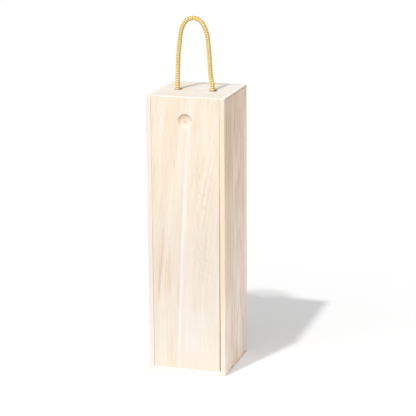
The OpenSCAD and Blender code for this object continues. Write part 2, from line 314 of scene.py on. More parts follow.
# %% The bench
class Bench:
    """Adds shader nodes to one tree. An input takes a number, a colour or another node's output."""

    def __init__(self, tree):
        self.tree = tree

    def link(self, value, socket):
        """Joins a node's output to the socket, or writes a plain value into it."""
        if isinstance(value, bpy.types.NodeSocket):
            self.tree.links.new(value, socket)
        else:
            socket.default_value = value

    def node(self, kind, given=None, **settings):
        made = self.tree.nodes.new("ShaderNode" + kind)
        for name, value in settings.items():
            setattr(made, name, value)
        for place, value in (given or {}).items():
            self.link(value, made.inputs[place])
        return made

    def math(self, operation, *values):
        return self.node("Math", dict(enumerate(values)), operation=operation).outputs[0]

    def plus(self, value, other):
        return self.math("ADD", value, other)

    def minus(self, value, other):
        return self.math("SUBTRACT", value, other)

    def times(self, product, *others):
        for value in others:
            product = self.math("MULTIPLY", product, value)
        return product

    def vector(self, operation, *values):
        made = self.node("VectorMath", dict(enumerate(values)), operation=operation)
        return made.outputs["Value" if operation == "LENGTH" else "Vector"]

    def fade(self, value, low, high, to_low=0.0, to_high=1.0):
        """to_low below low, to_high above high, and a smooth step between them."""
        given = {0: value, 1: low, 2: high, 3: to_low, 4: to_high}
        return self.node("MapRange", given, interpolation_type="SMOOTHSTEP").outputs[0]

    def noise(self, vector, fineness, seed, detail=2.0, roughness=0.5, colour=False):
        """Soft random shades. The fineness is in waves per metre along each axis."""
        vector = self.vector("MULTIPLY", vector, fineness)
        given = {"Vector": vector, "W": seed, "Scale": 1.0, "Detail": detail,
                 "Roughness": roughness}
        made = self.node("TexNoise", given, noise_dimensions="4D")
        return made.outputs["Color" if colour else "Fac"]

    def line_noise(self, place, detail=1.0):
        given = {"W": place, "Scale": 1.0, "Detail": detail}
        return self.node("TexNoise", given, noise_dimensions="1D").outputs["Fac"]

    def mix(self, share, first, second, blend="MIX"):
        """The second colour over the first. A Mix node's colours are its inputs 6 and 7, and
        its output 2."""
        given = {0: share, 6: first, 7: second}
        made = self.node("Mix", given, data_type="RGBA", blend_type=blend, clamp_result=True)
        return made.outputs[2]

    def ramp(self, value, stops, kind="LINEAR"):
        """Colours, or shades of grey, at places between 0 and 1."""
        made = self.node("ValToRGB", {0: value})
        made.color_ramp.interpolation = kind
        while len(made.color_ramp.elements) < len(stops):
            made.color_ramp.elements.new(1.0)
        for element, (place, colour) in zip(made.color_ramp.elements, stops):
            element.position = place
            element.color = colour if isinstance(colour, tuple) else (colour,) * 3 + (1.0,)
        return made.outputs[0]

    def moved(self, vector, **how):
        """The vector moved by a Location or turned by a Rotation."""
        return self.node("Mapping", {"Vector": vector, **how}).outputs[0]

    def parts(self, vector):
        return self.node("SeparateXYZ", {0: vector}).outputs

    def join(self, x, y, z):
        return self.node("CombineXYZ", {0: x, 1: y, 2: z}).outputs[0]

    def group(self, tree, **given):
        made = self.node("Group", node_tree=tree)
        for name, value in given.items():
            self.link(value, made.inputs[name.replace("_", " ")])
        return made.outputs


# %% Helpers that start a group and a material
def new_group(name, inputs, outputs):
    """A shader node group with named sockets, a Vector first. Inputs map a name to a start value: a
    number makes a number socket, three numbers a vector and four a colour. Outputs are names, of
    which Color is a colour and all others are numbers. It returns the group, a bench for it, what
    it is given and where its results go."""
    tree = bpy.data.node_groups.new(name, "ShaderNodeTree")
    for label, value in {"Vector": (0.0, 0.0, 0.0), **inputs}.items():
        size = len(value) if isinstance(value, tuple) else 1
        kind = {1: "NodeSocketFloat", 3: "NodeSocketVector", 4: "NodeSocketColor"}[size]
        tree.interface.new_socket(label, in_out="INPUT", socket_type=kind).default_value = value
    for label in outputs:
        kind = "NodeSocketColor" if label == "Color" else "NodeSocketFloat"
        tree.interface.new_socket(label, in_out="OUTPUT", socket_type=kind)
    given = tree.nodes.new("NodeGroupInput").outputs
    result = tree.nodes.new("NodeGroupOutput").inputs
    return tree, Bench(tree), given, result


def new_material(name, **uniform):
    """A material with one Principled shader, and plain values for some of its sockets."""
    material = bpy.data.materials.new(name)
    material.use_nodes = True
    bench = Bench(material.node_tree)
    shader = material.node_tree.nodes["Principled BSDF"]
    for label, value in uniform.items():
        shader.inputs[label.replace("_", " ")].default_value = value
    return material, bench, shader


def finish_surface(b, shader, colour, roughness, height, strength, distance):
    """Joins a colour, a roughness and a bump of so many metres to the shader."""
    bump = b.node("Bump", {"Height": height, "Strength": strength, "Distance": distance})
    b.link(colour, shader.inputs["Base Color"])
    b.link(roughness, shader.inputs["Roughness"])
    b.link(bump.outputs[0], shader.inputs["Normal"])


def dress(obj, material):
    """Puts the material on every slot of the object, or adds one where it has none."""
    if not obj.data.materials:
        obj.data.materials.append(material)
    for slot in obj.material_slots:
        slot.material = material
    print(obj.name, "wears", material.name)


# %% [markdown]
# ## The rope's finish
#
# The cord is spun from a glossy golden fibre. Its colour carries painted light and shade: a painted
# highlight on the pale crowns, painted shade in the valleys between the strands and in the grooves
# between the fine threads along each strand, and one family of strands painted darker than the
# other, as shade on strands that catch less light, which gives the cord its small rungs. The height
# of the braid is worked out again in nodes from the rope's own map, so that the colours sit on the
# strands.

# %% Braid as a node group
braid_group, b, given, result = new_group(
    "Braid", {"Strands": float(STRANDS), "Pitch": PITCH, "Threads": 4.0},
    ["Crown", "Thread", "Family"])
u, v, _ = b.parts(given["Vector"])
lengths = b.math("DIVIDE", u, given["Pitch"])
turns = b.times(v, given["Strands"])
a_number, b_number = b.plus(turns, lengths), b.minus(turns, lengths)
wholes = b.plus(b.math("FLOOR", a_number), b.math("FLOOR", b_number))
odd = b.math("FLOORED_MODULO", wholes, 2.0)
from_a = b.minus(b.math("FLOORED_MODULO", a_number, 1.0), 0.5)
from_b = b.minus(b.math("FLOORED_MODULO", b_number, 1.0), 0.5)
# On an odd square the two families change places
swap = b.minus(from_b, from_a)
across = b.plus(from_a, b.times(swap, odd))
lengthwise = b.minus(from_b, b.times(swap, odd))
width_share = b.math("MAXIMUM", b.minus(1.0, b.times(across, across, 4.0)), 0.0)
rise = b.math("COSINE", b.times(lengthwise, math.pi))
crown = b.times(b.plus(b.math("SQRT", width_share), rise), 0.5)
threads = b.math("COSINE", b.times(across, given["Threads"], 2 * math.pi))
b.link(crown, result["Crown"])
b.link(b.math("MULTIPLY_ADD", threads, 0.5, 0.5), result["Thread"])
b.link(odd, result["Family"])

# %% Rope material
# The two families of strands, from the valleys of the braid to its crowns: painted shade in the
# valleys, a painted highlight on the crowns, and the second family painted darker all over as shade
PALE_STRAND_SHADING = [(0.1, paint(96, 52, 4)), (0.42, paint(200, 158, 58)), (0.75, paint(255, 247, 188))]
SHADED_STRAND_SHADING = [(0.1, paint(78, 38, 2)), (0.55, paint(146, 98, 22)), (0.95, paint(214, 176, 72))]
# Drift is a random tone of the cord. The thread colour is painted shade in the grooves between
# threads
DRIFT_SHADE, THREAD_GROOVE_SHADE = paint(210, 164, 74), paint(192, 148, 66)

rope_material, b, shader = new_material("golden braided cord", IOR=1.5, Specular_IOR_Level=0.35)
rope_map = b.node("UVMap", uv_map="RopeMap").outputs[0]
braid = b.group(braid_group, Vector=rope_map)
place = b.node("TexCoord").outputs["Object"]
# Painted shading: dark valleys, pale crowns, and one family painted darker than the other
pale, dark = b.ramp(braid["Crown"], PALE_STRAND_SHADING), b.ramp(braid["Crown"], SHADED_STRAND_SHADING)
colour = b.mix(braid["Family"], pale, dark)
drift = b.noise(place, (90.0, 90.0, 90.0), 3.0, detail=3.0)
colour = b.mix(b.fade(drift, 0.4, 0.7, 0.0, 0.18), colour, DRIFT_SHADE)
# Painted shade in the grooves between the fine threads
colour = b.mix(b.fade(braid["Thread"], 0.0, 0.6, 0.16, 0.0), colour, THREAD_GROOVE_SHADE)
relief = b.math("MULTIPLY_ADD", braid["Thread"], 0.35, braid["Crown"])
roughness = b.fade(braid["Crown"], 0.2, 1.0, 0.6, 0.34)
finish_surface(b, shader, colour, roughness, relief, 0.5, 0.0001)
for piece in (arch, left_knot, right_knot):
    dress(piece, rope_material)

# %% [markdown]
# ## Pale wood
#
# The boards are sawn from a light, fast-grown hardwood: cream to pale pinkish beige, with soft wide
# growth rings and fine long fibres. A flat stripe pattern would look wrong on the ends and edges,
# so the wood is a solid: rings lie round a heart line, and each face shows the cut through them,
# straight stripes or long pointed arches. One node group holds this, and each board has its own
# heart line, lean and colours.

# %% Pale wood as a node group
# The fineness of each pattern, twice across the grain and once along it, in waves per metre
SWAY, RIPPLE, PATCH = (22.0, 22.0, 5.0), (260.0, 260.0, 16.0), (170.0, 170.0, 26.0)
FIBRE, PORE = (900.0, 900.0, 11.0), (2800.0, 2800.0, 90.0)
# How dark one growth ring is, from its first wood to its last
RING = [(0.0, 0.1), (0.12, 0.0), (0.55, 0.12), (0.86, 0.8), (0.93, 1.0), (1.0, 0.1)]
WHITE = (1.0, 1.0, 1.0, 1.0)

wood_group, b, given, result = new_group(
    "Pale wood",
    {"Heart": (0.0, 0.08, 0.0), "Lean": 0.0, "Bow": 0.0, "Taper": 0.0,
     "Ring Width": 0.006, "Waver": 0.006, "Seed": 0.0, "Light": WHITE, "Dark": WHITE,
     "Late": WHITE, "Ring Depth": 0.5, "Band Depth": 1.0, "Fibre Depth": 0.35,
     "Patch Depth": 0.0},
    ["Color", "Ring", "Fibre", "Height"])
place, seed = given["Vector"], given["Seed"]
slow = b.noise(place, SWAY, seed, colour=True)
sway = b.vector("SCALE", b.vector("SUBTRACT", slow, (0.5, 0.5, 0.5)))
b.link(given["Waver"], sway.node.inputs["Scale"])
_, _, lengthwise = b.parts(place)
lean = b.math("MULTIPLY_ADD", lengthwise, given["Bow"], given["Lean"])
drift = b.join(b.times(lengthwise, lean), b.times(lengthwise, given["Taper"]), 0.0)
local = b.vector("SUBTRACT", b.vector("SUBTRACT", place, given["Heart"]), drift)
flat = b.vector("MULTIPLY", b.vector("ADD", local, sway), (1.0, 1.0, 0.0))
rings = b.math("DIVIDE", b.vector("LENGTH", flat), given["Ring Width"])
ripple = b.noise(place, RIPPLE, seed)
number = b.math("MULTIPLY_ADD", b.minus(ripple, 0.5), 0.55, rings)
late = b.ramp(b.math("FLOORED_MODULO", number, 1.0), RING, "EASE")
each = b.line_noise(b.math("MULTIPLY_ADD", rings, 0.61, b.times(seed, 7.3)))
late = b.times(late, b.fade(each, 0.3, 0.7, 0.15, 1.0))
bands = b.line_noise(b.math("MULTIPLY_ADD", number, 0.19, b.times(seed, 3.7)), 2.0)

# %% Pale wood: its fibres, pores and colours
fibre = b.noise(place, FIBRE, seed, 4.0, 0.7)
pore = b.fade(b.noise(place, PORE, seed, 1.0), 0.64, 0.74)
band_share = b.times(b.fade(bands, 0.3, 0.7), given["Band Depth"])
colour = b.mix(band_share, given["Light"], given["Dark"])
colour = b.mix(b.times(late, given["Ring Depth"]), colour, given["Late"])
fibre_share = b.times(b.fade(fibre, 0.42, 0.68), given["Fibre Depth"])
colour = b.mix(fibre_share, colour, given["Late"])
colour = b.mix(b.times(pore, 0.3), colour, given["Late"])
patches = b.noise(place, PATCH, seed, 3.0, 0.65)
patch_share = b.times(b.fade(patches, 0.42, 0.66), given["Patch Depth"])
colour = b.mix(patch_share, colour, given["Late"])
height = b.math("MULTIPLY_ADD", fibre, 0.6, b.times(late, 0.25))
b.link(colour, result["Color"])
b.link(late, result["Ring"])
b.link(fibre, result["Fibre"])
b.link(b.minus(height, b.times(pore, 0.7)), result["Height"])

# %% [markdown]
# ## Marks of work and use
#
# Three more effects are shared by the boards. The edges are sanded, so they are a little smoother,
# and paler: partly the sanding, partly a painted highlight where an edge catches the light. Some
# streaks run along the grain: sap lines, mineral stain. And the ends of a board show end grain,
# paler and rougher. Each effect is a mask that a material mixes in.

# %% Sanded edges, with a painted highlight, as a node group
edge_and_highlight_group, b, given, result = new_group(
    "Sanded edges and highlight", {"Half Size": (0.05, 0.05, 0.1), "Width": 0.0011, "Seed": 0.0}, ["Edge"])
# The distance to the nearest edge of a box is the middle one of the distances to its faces
depth = b.vector("SUBTRACT", given["Half Size"], b.vector("ABSOLUTE", given["Vector"]))
depth_x, depth_y, depth_z = b.parts(depth)
small = b.math("MINIMUM", depth_x, depth_y)
large = b.math("MAXIMUM", depth_x, depth_y)
middle = b.math("MAXIMUM", small, b.math("MINIMUM", large, depth_z))
uneven = b.noise(given["Vector"], (140.0, 140.0, 140.0), given["Seed"], 3.0, 0.6)
reach = b.times(given["Width"], b.math("MULTIPLY_ADD", uneven, 2.4, -0.4))
from_edge = b.math("DIVIDE", middle, b.math("MAXIMUM", reach, 0.0001))
b.link(b.fade(from_edge, 0.0, 1.0, 1.0, 0.0), result["Edge"])

# %% Streak along the grain as a node group
streak_group, b, given, result = new_group(
    "Grain streak",
    {"Across": 0.0, "Lean": 0.0, "Bow": 0.0, "Width": 0.003, "Softness": 0.6, "Low": -1.0,
     "High": 1.0, "Fade": 0.03, "Seed": 0.0}, ["Streak"])
x, _, z = b.parts(given["Vector"])
slant = b.math("MULTIPLY_ADD", z, given["Bow"], given["Lean"])
line = b.math("MULTIPLY_ADD", z, slant, given["Across"])
wobble = b.noise(given["Vector"], (18.0, 18.0, 11.0), given["Seed"])
line = b.math("MULTIPLY_ADD", b.minus(wobble, 0.5), 0.0035, line)
half_width = b.times(given["Width"], 0.5)
off = b.math("DIVIDE", b.math("ABSOLUTE", b.minus(x, line)), half_width)
inner = b.minus(1.0, given["Softness"])
body = b.fade(off, inner, b.plus(1.0, given["Softness"]), 1.0, 0.0)
rise = b.fade(z, given["Low"], b.plus(given["Low"], given["Fade"]))
fall = b.fade(z, b.minus(given["High"], given["Fade"]), given["High"], 1.0, 0.0)
b.link(b.times(rise, fall, body), result["Streak"])
for group in (braid_group, wood_group, edge_and_highlight_group, streak_group):
    print(group.name, len(group.nodes), "nodes")

# %% [markdown]
# ## One material for each board
#
# Every board is its own piece of wood. So a function makes a board's material from a few values:
# which way its grain runs, where its heart line lies, its colours and its streaks. The pattern is
# fixed to the board by its Object coordinates, and a Mapping node turns it so that Z is the grain.

# %% A board's material
GRAIN_UP = (0.0, 0.0, 0.0)
GRAIN_UP_SIDE = (0.0, 0.0, -math.pi / 2)
GRAIN_RIGHT = (0.0, -math.pi / 2, 0.0)


def box_measures(node):
    """The middle and the half size of a node's CAD box."""
    low, high = (np.array(corner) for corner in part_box(node))
    return (low + high) / 2, (high - low) / 2


def board_material(name, node, turn, heart, lean=0.0, bow=0.0, taper=0.0, ring=0.006, waver=0.006,
                   seed=0.0, light=(250, 238, 222), dark=(240, 220, 198), late=(226, 198, 170),
                   end=(252, 246, 236), depths=(0.5, 1.0, 0.35, 0.2), streaks=(), extra=None):
    """Pale wood for one board, measured from the middle of the board's own box. The place of the
    heart line is in millimetres, and so are the lengths in the streaks, which are rows of
    (across, lean, bow, width, low, high, softness, strength, colour)."""
    centre, half_size = box_measures(node)
    material, b, shader = new_material(name, IOR=1.45, Specular_IOR_Level=0.35)
    place = b.node("TexCoord").outputs
    centred = b.moved(place["Object"], Location=tuple(-centre))
    along = b.moved(centred, Rotation=turn)
    facing = b.moved(place["Normal"], Rotation=turn)
    wood = b.group(wood_group, Vector=along, Heart=tuple(x / 1000 for x in heart), Lean=lean,
                   Bow=bow, Taper=taper, Ring_Width=ring, Waver=waver, Seed=seed,
                   Light=paint(*light), Dark=paint(*dark), Late=paint(*late), Ring_Depth=depths[0],
                   Band_Depth=depths[1], Fibre_Depth=depths[2], Patch_Depth=depths[3])
    colour = wood["Color"]
    for count, (x, slant, curve, width, z0, z1, softness, strength, shade) in enumerate(streaks):
        mask = b.group(streak_group, Vector=along, Across=x / 1000, Lean=slant, Bow=curve,
                       Width=width / 1000, Low=z0 / 1000, High=z1 / 1000, Softness=softness,
                       Seed=seed + count)["Streak"]
        mask = b.times(mask, b.fade(wood["Fibre"], 0.3, 0.7, strength, 0.75 * strength))
        colour = b.mix(mask, colour, paint(*shade))
    if extra:
        colour = extra(b, centred, place["Normal"], colour)
    end_share = b.fade(b.math("ABSOLUTE", b.parts(facing)[2]), 0.6, 0.85)
    end_colour = b.mix(b.times(wood["Ring"], 0.6), paint(*end), paint(*dark))
    colour = b.mix(end_share, colour, end_colour)
    # Paler along the edges: sanding, and a painted highlight where an edge catches the light
    edge = b.group(edge_and_highlight_group, Vector=centred, Half_Size=tuple(half_size), Seed=seed)["Edge"]
    colour = b.mix(b.times(edge, 0.55), colour, paint(*end))
    roughness = b.fade(wood["Fibre"], 0.3, 0.7, 0.5, 0.66)
    roughness = b.math("MULTIPLY_ADD", end_share, 0.15, roughness)
    roughness = b.math("MULTIPLY_ADD", edge, -0.08, roughness)
    finish_surface(b, shader, colour, roughness, wood["Height"], 0.35, 0.00012)
    dress(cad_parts[node], material)


# %% [markdown]
# ## The lid
#
# The lid carries the figure that the eye follows: a pale sap line runs from top to bottom, leaning
# with the grain, with warmer wood on its left and a softer, greyer figure on its right. The round
# finger recess was cut with a router, which left the wood in it slightly scorched; its colour also
# holds painted shade, browner to the upper left and darker to the lower right. The sawn edges
# beside the lid's gap are browner low down, partly painted shade in the gap.

# %% Router marks and sawn edges of the lid
RECESS_Z = 0.3255
RECESS_R = 0.009
# Sawn edges by the lid's gap: their own colour, with painted shade low down and painted light high
# up
BROWN_EDGE_AND_GAP_SHADE = (222, 193, 160)
PALE_EDGE_AND_GAP_LIGHT = (255, 246, 232)
# The recess brown is partly router scorch and partly painted shade; its lower right tone is painted
# shade
RECESS_BROWN, RECESS_LOWER_RIGHT_SHADE, CURL_SHADE = (222, 178, 122), (238, 222, 203), (216, 196, 166)
LID_FACE_Y = round(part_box("lid")[0].y, 6)
HALF_HEIGHT = BOARD_TOP_Z / 2
# Where masks start and end: depths from the lid's face, the others from the axis of the recess
RECESS_DEPTH, TONGUE_DEPTH, FRONT_HALF = (0.0, 0.0006), (0.002, 0.0026), (0.0032, 0.0037)
RECESS_EDGE = (RECESS_R - 0.0001, RECESS_R + 0.0002)
DOTS_R, RIM_R, TONGUE_X = (0.003, 0.0055), (0.0062, 0.0086), (0.0415, 0.042)
# The lid's change of tone from foot to top
LID_TONE = [(0.0, (0.955, 0.975, 1.0, 1.0)), (0.3, (0.925, 0.945, 1.0, 1.0)),
            (0.5, (0.945, 0.955, 0.98, 1.0)), (0.9, (1.0, 1.0, 0.985, 1.0))]


def lid_figure(b, centred, colour):
    """Low down the colour is a little darker and cooler, and on the right short dark dashes waver
    along the grain."""
    x, _, z = b.parts(centred)
    tone = b.ramp(b.fade(z, -HALF_HEIGHT, HALF_HEIGHT), LID_TONE)
    colour = b.mix(1.0, colour, tone, "MULTIPLY")
    curly = b.group(streak_group, Vector=centred, Across=0.022, Width=0.024, Low=-0.07, High=0.12,
                    Softness=0.7, Seed=40.0)["Streak"]
    waves = b.times(b.math("SINE", b.times(z, 430.0)), 0.6)
    curled = b.join(b.math("MULTIPLY_ADD", x, 480.0, waves), 0.0, z)
    dashes = b.noise(curled, (1.0, 1.0, 120.0), 8.0, 2.0, 0.6)
    return b.mix(b.times(curly, b.fade(dashes, 0.45, 0.7, 0.0, 0.34)), colour, paint(*CURL_SHADE))


def recess_marks(b, centred, colour, right, up, below):
    """The recess is browner to the upper left, partly router scorch and partly painted shade of its
    upper wall, and painted darker to the lower right, a painted shade on its lit wall, with a few
    dots where the cutter's point dug in. Right and up lead from its axis, and below is 1 inside its
    depth."""
    radius = b.vector("LENGTH", b.join(right, 0.0, up))
    inside = b.times(b.fade(radius, *RECESS_EDGE, 1.0, 0.0), below)
    dots = b.noise(centred, (520.0, 0.0, 520.0), 6.3, 1.0)
    dots = b.times(b.fade(dots, 0.5, 0.62), b.fade(radius, *DOTS_R, 0.75, 0.0),
                   b.fade(right, -0.001, 0.0015, 1.0, 0.25))
    across = b.minus(right, up)
    # Browner to the upper left: router scorch and painted shade of the upper wall
    upper_left_scorch_and_shade = b.times(b.fade(across, -0.009, 0.006, 0.75, 0.05), b.fade(radius, *RIM_R, 0.3, 1.0))
    # Painted shade that tones down the lit lower right wall
    lower_right_shade = b.times(inside, b.fade(across, -0.002, 0.008, 0.1, 0.6))
    colour = b.mix(lower_right_shade, colour, paint(*RECESS_LOWER_RIGHT_SHADE))
    brown_share = b.times(inside, b.math("MAXIMUM", dots, upper_left_scorch_and_shade))
    return b.mix(brown_share, colour, paint(*RECESS_BROWN))


def lid_marks(b, centred, normal, colour):
    """The figure, the recess, and the sawn edges and the tongue, by the way that they face and how
    deep they lie. The edges and the tongue are browner low down and paler higher up: partly their
    own sawn colour, partly painted shade and painted light in the gap beside the lid. The masks by
    depth end half way through the lid, so that neither the recess nor the tongue shows on its inner
    face."""
    to_recess = tuple(box_measures("lid")[0] - (0.0, LID_FACE_Y, RECESS_Z))
    right, deep, up = b.parts(b.moved(centred, Location=to_recess))
    front_half = b.fade(deep, *FRONT_HALF, 1.0, 0.0)
    below = b.times(b.fade(deep, *RECESS_DEPTH), front_half)
    colour = recess_marks(b, centred, lid_figure(b, centred, colour), right, up, below)
    sideways = b.times(b.math("ABSOLUTE", b.parts(normal)[0]), front_half)
    tongue = b.times(b.fade(b.math("ABSOLUTE", right), *TONGUE_X), b.fade(deep, *TONGUE_DEPTH),
                     front_half)
    # Brown low down and pale high up: sawn colour, and painted shade and light in the gap
    edge = b.mix(b.fade(b.parts(centred)[2], -0.03, 0.11), paint(*BROWN_EDGE_AND_GAP_SHADE), paint(*PALE_EDGE_AND_GAP_LIGHT))
    return b.mix(b.math("MAXIMUM", b.fade(sideways, 0.8, 0.95), tongue), colour, edge)


# %% Wood of the lid
SAP = (255, 248, 242)
# Rows as board_material has them: across, lean, bow, width, low, high, softness, strength, colour
LID_STREAKS = [
    (-41.5, 0, 0, 6, 58, 124, 0.9, 0.35, (244, 216, 184)),
    (-58.7, 0.24, 0, 2.6, 50, 176, 0.9, 0.28, (238, 208, 176)),
    (-52, 0.22, 0, 1.8, 36, 176, 0.9, 0.2, (240, 210, 180)),
    (-66, 0.26, 0, 1.8, 84, 176, 0.9, 0.18, (240, 212, 182)),
    (-38.7, 0.17, 0, 2.2, 0, 112, 0.9, 0.25, (238, 208, 178)),
    (-34, 0.15, 0, 1.4, 10, 90, 0.9, 0.2, (240, 212, 182)),
    (-42.6, 0.02, 0, 1.6, -170, 120, 0.7, 0.3, (236, 206, 174)),
    (-34, 0.04, 0, 7, -98, 10, 0.9, 0.35, (238, 208, 178)),
    (-30.2, 0.073, 0, 1.5, -88, 22, 0.8, 0.6, (226, 184, 146)),
    (-32.4, 0.06, 0, 1.2, -100, -14, 0.9, 0.5, (226, 186, 150)),
    (-27.8, 0.075, 0, 1.2, -62, 14, 0.8, 0.5, (230, 192, 154)),
    (-20.5, 0.06, 0, 9, -94, -12, 0.9, 0.35, (240, 208, 172)),
    (-24, 0.06, 0, 1.2, -88, -20, 0.8, 0.45, (230, 190, 150)),
    (-20.4, 0.06, 0, 1, -80, -6, 0.8, 0.4, (232, 194, 154)),
    (-17.4, 0.06, 0, 1.2, -92, -30, 0.8, 0.45, (230, 190, 150)),
    (-6.9, 0.055, 0.07, 1.8, -100, -38, 0.8, 0.6, (236, 196, 152)),
    (-6.2, 0.055, 0.07, 1.4, -46, 60, 0.8, 0.3, (244, 214, 178)),
    (-7.6, 0.055, 0.07, 2.2, -176, -142, 0.8, 0.6, (232, 196, 158)),
    (-12.6, 0, 0, 2, -176, -150, 0.8, 0.4, (236, 204, 168)),
    (3.6, 0.19, 0, 2.2, 8, 112, 0.9, 0.45, (250, 220, 182)),
    (0, 0.17, 0, 1.4, -30, 60, 0.9, 0.35, (248, 220, 186)),
    (8.6, 0.2, 0, 3.4, 24, 150, 0.9, 0.55, (254, 246, 234)),
    (15.5, 0.19, 0, 2.6, 0, 120, 0.9, 0.5, (254, 246, 236)),
    (23, 0.16, 0, 2, -20, 90, 0.9, 0.4, (254, 246, 236)),
    (12.4, 0.2, 0, 1.4, 30, 140, 0.8, 0.35, (238, 212, 182)),
    (19.6, 0.18, 0, 1.4, 20, 120, 0.8, 0.35, (236, 210, 182)),
    (42.4, 0, 0, 1.8, -60, 130, 0.8, 0.45, (236, 206, 172)),
    (33, 0.03, 0, 8, 40, 130, 0.9, 0.25, (244, 222, 196)),
    (14, 0.02, 0, 26, -176, -80, 0.9, 0.5, (250, 243, 238)),
    (-31, 0.05, 0, 7, 40, 178, 0.9, 0.3, (248, 222, 190)),
    (-19, 0.05, 0, 5, 100, 178, 0.9, 0.3, (250, 222, 186)),
    (-13, 0.06, 0, 6, 10, 178, 0.9, 0.3, (255, 247, 236)),
    (-37, 0.05, 0, 4, 30, 178, 0.9, 0.3, (255, 247, 236)),
    (18, 0.06, 0, 7, 90, 178, 0.9, 0.3, (255, 247, 236)),
    (31, 0.05, 0, 7, 60, 178, 0.9, 0.3, (255, 247, 236)),
    (-3.6, 0.055, 0.07, 6, -30, 190, 0.8, 0.55, SAP),
    (-4.4, 0.055, 0.07, 2.4, -40, 190, 0.7, 0.5, SAP),
    (-3.8, 0.055, 0.07, 3.4, -190, 10, 0.7, 0.75, SAP),
    (0.4, 0.055, 0.07, 2, 130, 190, 0.7, 0.55, SAP),
]
board_material("lid wood", "lid", GRAIN_UP, (95.0, 75.0, 0.0), lean=0.11, bow=0.35, ring=0.0042,
               waver=0.01, seed=1.3, light=(251, 239, 222), dark=(245, 229, 208),
               late=(229, 202, 173), end=(255, 252, 246), depths=(0.16, 0.8, 0.16, 0.16),
               streaks=LID_STREAKS, extra=lid_marks)

# %% [markdown]
# ## The other boards
#
# The right side board faces away from the light and shows a long arch of growth rings. The top and
# bottom boards and the shelf have their grain across the box, and the back board has it upright.

# %% Marks on the side boards
# The foot tone is painted bounce light from the floor; the brown is for lines along a side's foot
# and top
FOOT_BOUNCE_TONE, EDGE_LINE_BROWN = (247, 235, 224), (192, 144, 98)
# Heights between which a mask fades, from the middle of the board
BOUNCE_Z, FOOT_Z = (-0.15, 0.16), (-0.165, -0.08)
DEEPER_FROM_Z, DEEPER_TO_Z = (-0.13, -0.06), (-0.03, 0.12)
TOP_RIM_Z = (HALF_HEIGHT - 0.004, HALF_HEIGHT - 0.0007)
# The same from front to back
STRIP_Y, BROWN_LINE_Y = (-0.0475, -0.0468), (-0.046, -0.03)


def side_marks(outward, front_tone, floor_bounce_tone):
    """What a side board has on one face only. Its front edge has its own tone, which deepens at
    half height and turns greyer at the foot, painted bounce light from the floor. Its sawn strip
    beside the lid is brown low down and pale higher up, partly its sawn colour and partly painted
    shade and painted light in the gap. Its outer face has an uneven brown line along its foot and
    along its top, and the outer face's colours are multiplied by a tone that makes them paler and
    cooler towards the ground, painted bounce light from the floor. Each mask is a product of the
    way that the wood faces and of where it lies."""
    def marks(b, centred, normal, colour):
        x, y, z = b.parts(centred)
        face_x, face_y, _ = b.parts(normal)
        outer = b.fade(b.times(face_x, outward), 0.6, 0.9)
        inner = b.fade(b.times(face_x, -outward), 0.6, 0.9)
        frontal = b.fade(face_y, -0.9, -0.6, 1.0, 0.0)
        # Painted bounce light from the floor: paler and cooler towards the ground
        low = b.times(b.fade(z, *BOUNCE_Z, 1.0, 0.0), outer)
        colour = b.mix(low, colour, (*floor_bounce_tone, 1.0), "MULTIPLY")
        colour = b.mix(b.times(frontal, 0.75), colour, paint(*front_tone))
        middle = b.times(b.fade(z, *DEEPER_FROM_Z), b.fade(z, *DEEPER_TO_Z, 1.0, 0.0))
        deeper_tone = paint(*np.multiply(front_tone, (0.97, 0.94, 0.9)))
        colour = b.mix(b.times(middle, frontal, 0.7), colour, deeper_tone)
        # Painted bounce light from the floor at the foot of the front edge
        foot_bounce = b.times(frontal, b.fade(z, *FOOT_Z, 0.75, 0.0))
        colour = b.mix(foot_bounce, colour, paint(*FOOT_BOUNCE_TONE))
        # The strip beside the lid: sawn colour, with painted shade low down and painted light high
        # up
        strip = b.times(inner, b.fade(y, *STRIP_Y, 0.9, 0.0))
        strip_gap_tone = b.mix(b.fade(z, -0.03, 0.1), paint(*BROWN_EDGE_AND_GAP_SHADE), paint(*PALE_EDGE_AND_GAP_LIGHT))
        colour = b.mix(strip, colour, strip_gap_tone)
        # An uneven brown line along the outer face's foot and along its top
        patch = b.noise(centred, (0.0, 380.0, 60.0), 2.0, 2.0, 0.6)
        reach = b.math("MULTIPLY_ADD", b.fade(patch, 0.4, 0.64), 0.0052, 0.0009)
        foot = b.math("DIVIDE", b.plus(z, HALF_HEIGHT), reach)
        foot = b.fade(foot, 0.25, 1.0, 0.75, 0.0)
        rim = b.times(b.fade(z, *TOP_RIM_Z), b.fade(patch, 0.42, 0.58, 0.35, 0.85))
        brown_share = b.times(outer, b.fade(y, *BROWN_LINE_Y), b.math("MAXIMUM", foot, rim))
        return b.mix(brown_share, colour, paint(*EDGE_LINE_BROWN))
    return marks


# %% Marks and painted shadow round the rope holes
# The brown round each hole is partly rubbing and partly painted shadow, set off to the shadow side
SHADOW_SIDE_SHIFT, RUB_AND_SHADOW_R, RUB_AND_SHADOW_BROWN = 0.001, (0.0045, 0.0074), (112, 76, 48)


